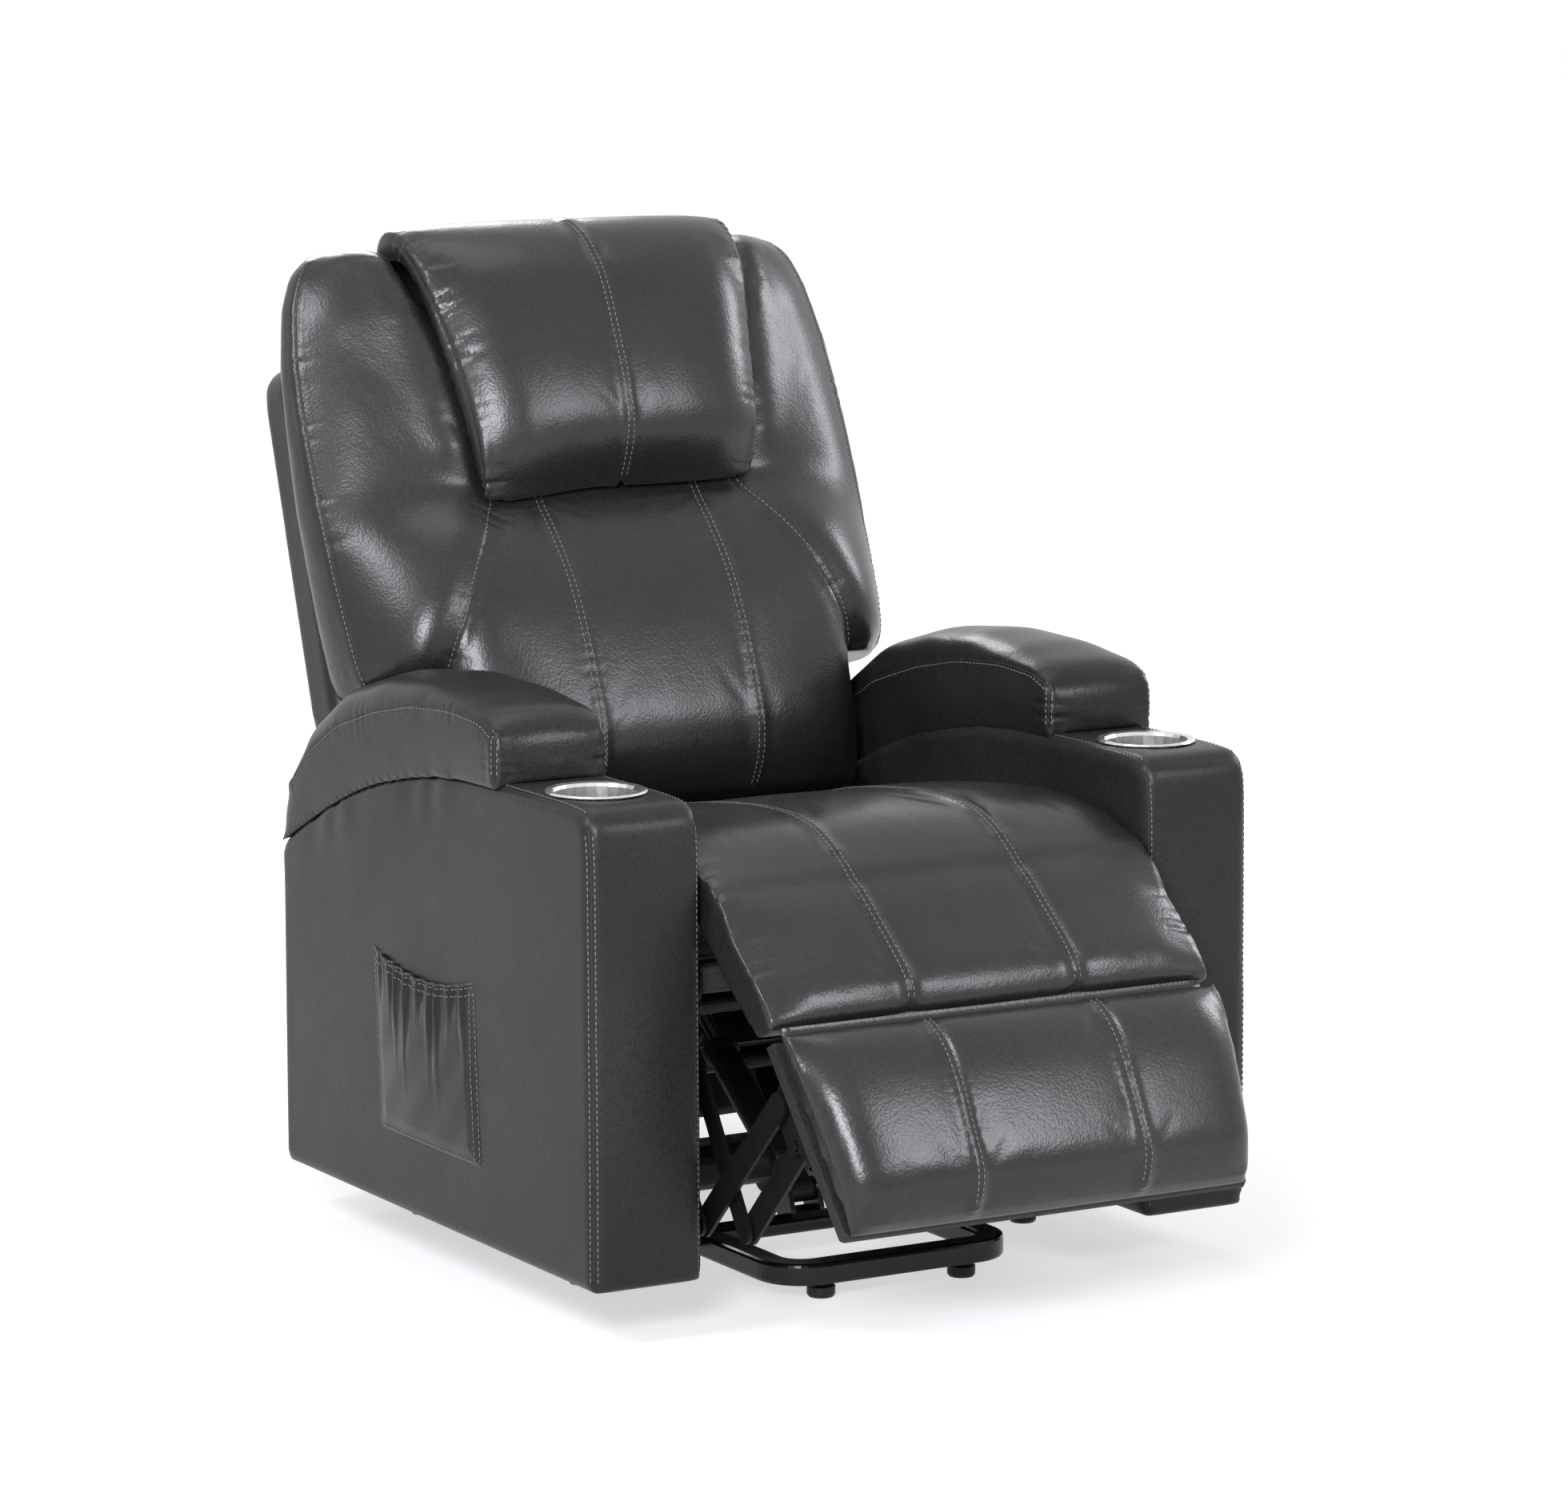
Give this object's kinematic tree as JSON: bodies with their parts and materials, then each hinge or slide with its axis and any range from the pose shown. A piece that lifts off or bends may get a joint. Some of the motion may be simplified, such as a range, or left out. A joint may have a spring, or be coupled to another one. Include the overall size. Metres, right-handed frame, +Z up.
{
  "type": "recliner armchair",
  "caption": "Power lift recliner: padded leather armchair on a steel lift base, with a reclining wing back, folding footrest, cup holders and a side pocket",
  "frame": {"origin": "on the floor under the middle of the chair's bounding box as stored", "axes": "+Z up, the sitter faces -Y, the sitter's left is +X"},
  "size_m": [0.8595, 1.2204, 1.1376],
  "materials": {
    "leather": "semi-gloss pebbled charcoal upholstery leather",
    "base_steel": "gloss black powder coat",
    "linkage_steel": "satin dark grey coat on stamped steel",
    "cup_steel": "brushed stainless steel",
    "rod_steel": "bright drawn steel",
    "spring_steel": "bare drawn spring wire",
    "motor_plastic": "fine-textured black housing",
    "foot_plastic": "matt black glide",
    "wood": "bare plywood"
  },
  "bodies": {
    "base": {"base_loop": "base_steel", "base_cross_front": "base_steel", "base_cross_rear": "base_steel", "foot_front_left": "foot_plastic", "foot_front_right": "foot_plastic", "foot_middle_left": "foot_plastic", "foot_middle_right": "foot_plastic", "foot_rear_left": "foot_plastic", "foot_rear_right": "foot_plastic", "lift_upright_left": "base_steel", "lift_upright_right": "base_steel"},
    "lift_main": {"lift_link_main_left": "linkage_steel", "lift_link_main_right": "linkage_steel", "lift_torque_tube": "linkage_steel"},
    "lift_guide": {"lift_link_guide_left": "linkage_steel", "lift_link_guide_right": "linkage_steel"},
    "lift_motor": {"lift_motor": "motor_plastic"},
    "lift_rod": {"lift_rod": "rod_steel"},
    "chair": {"lift_bracket_left": "linkage_steel", "lift_bracket_right": "linkage_steel", "cross_tube_front": "linkage_steel", "cross_tube_rear": "linkage_steel", "side_plate_left": "linkage_steel", "side_plate_right": "linkage_steel", "seat_rail_front": "wood", "seat_rail_rear": "wood", "seat_springs": "spring_steel", "seat_cushion": "leather", "arm_left": "leather", "arm_right": "leather", "arm_pad_left": "leather", "arm_pad_right": "leather", "cup_holder_left": "cup_steel", "cup_holder_right": "cup_steel", "side_pocket": "leather", "rear_skirt": "leather"},
    "backrest": {"back_shell": "leather", "back_cushion": "leather", "back_wing_left": "leather", "back_wing_right": "leather", "head_pillow": "leather", "back_bracket_left": "linkage_steel", "back_bracket_right": "linkage_steel", "back_drive_tube": "linkage_steel"},
    "calf_rest": {"calf_pad": "leather"},
    "footrest": {"footrest_board": "wood", "footrest_pad": "leather", "footrest_bracket_left": "linkage_steel", "footrest_bracket_right": "linkage_steel"},
    "ottoman_front": {"ottoman_link_front_left": "linkage_steel", "ottoman_link_front_right": "linkage_steel", "ottoman_torque_tube": "linkage_steel"},
    "ottoman_rear": {"ottoman_link_rear_left": "linkage_steel", "ottoman_link_rear_right": "linkage_steel"},
    "ottoman_upper": {"ottoman_link_upper_left": "linkage_steel", "ottoman_link_upper_right": "linkage_steel"},
    "ottoman_lower": {"ottoman_link_lower_left": "linkage_steel", "ottoman_link_lower_right": "linkage_steel"},
    "recline_motor": {"recline_motor": "motor_plastic"},
    "recline_rod": {"recline_rod": "rod_steel"}
  },
  "joints": [
    {"name": "lift", "type": "hinge", "parent": "base", "child": "lift_main", "pos_m": [0, 0.2485, 0.158], "axis": [-1, 0, 0], "range_deg": [0, 50]},
    {"name": "lift_guide", "type": "hinge", "parent": "base", "child": "lift_guide", "pos_m": [0, 0.377, 0.12], "axis": [-1, 0, 0], "range_deg": [0, 43.3]},
    {"name": "chair_tilt", "type": "hinge", "parent": "lift_main", "child": "chair", "pos_m": [0, -0.042, 0.1025], "axis": [1, 0, 0], "range_deg": [0, 76]},
    {"name": "lift_motor_pivot", "type": "hinge", "parent": "base", "child": "lift_motor", "pos_m": [0, -0.049, 0.066], "axis": [1, 0, 0], "range_deg": [-5.9, 0]},
    {"name": "lift_rod_slide", "type": "slide", "parent": "lift_motor", "child": "lift_rod", "axis": [0, 0.8033, 0.5955], "range_m": [0, 0.0782]},
    {"name": "recline", "type": "hinge", "parent": "chair", "child": "backrest", "pos_m": [0, 0.211, 0.44], "axis": [-1, 0, 0], "range_deg": [0, 38]},
    {"name": "recline_motor_pivot", "type": "hinge", "parent": "chair", "child": "recline_motor", "pos_m": [0, -0.164, 0.322], "axis": [1, 0, 0], "range_deg": [0, 3.3]},
    {"name": "recline_rod_slide", "type": "slide", "parent": "recline_motor", "child": "recline_rod", "axis": [0, 0.9993, 0.0377], "range_m": [-0.0627, 0]},
    {"name": "footrest", "type": "hinge", "parent": "chair", "child": "calf_rest", "pos_m": [0, -0.331, 0.446], "axis": [-1, 0, 0], "range_deg": [-38, 42]},
    {"name": "footrest_board", "type": "hinge", "parent": "calf_rest", "child": "footrest", "pos_m": [0, -0.465, 0.34], "axis": [-1, 0, 0], "range_deg": [-3.9, 4.3]},
    {"name": "ottoman_front", "type": "hinge", "parent": "chair", "child": "ottoman_front", "pos_m": [0, -0.227, 0.3385], "axis": [-1, 0, 0], "range_deg": [-39.2, 43.3]},
    {"name": "ottoman_rear", "type": "hinge", "parent": "chair", "child": "ottoman_rear", "pos_m": [0, -0.1805, 0.2925], "axis": [-1, 0, 0], "range_deg": [-39.1, 43.2]},
    {"name": "ottoman_upper", "type": "hinge", "parent": "ottoman_front", "child": "ottoman_upper", "pos_m": [0, -0.342, 0.1575], "axis": [-1, 0, 0], "range_deg": [-42.3, 38.3]},
    {"name": "ottoman_lower", "type": "hinge", "parent": "ottoman_front", "child": "ottoman_lower", "pos_m": [0, -0.3695, 0.115], "axis": [-1, 0, 0], "range_deg": [-41.7, 37.8]}
  ],
  "couplings": [
    {"joint": "lift_guide", "follows": "lift", "ratio": 0.863},
    {"joint": "chair_tilt", "follows": "lift", "ratio": 1.518},
    {"joint": "lift_motor_pivot", "follows": "lift", "ratio": -0.114},
    {"joint": "lift_rod_slide", "follows": "lift", "m_per_rad": 0.0894},
    {"joint": "recline_motor_pivot", "follows": "recline", "ratio": 0.084},
    {"joint": "recline_rod_slide", "follows": "recline", "m_per_rad": -0.0942},
    {"joint": "footrest_board", "follows": "footrest", "ratio": 0.1},
    {"joint": "ottoman_front", "follows": "footrest", "ratio": 1.029},
    {"joint": "ottoman_rear", "follows": "footrest", "ratio": 1.027},
    {"joint": "ottoman_upper", "follows": "footrest", "ratio": -1.004},
    {"joint": "ottoman_lower", "follows": "footrest", "ratio": -0.991}
  ]
}
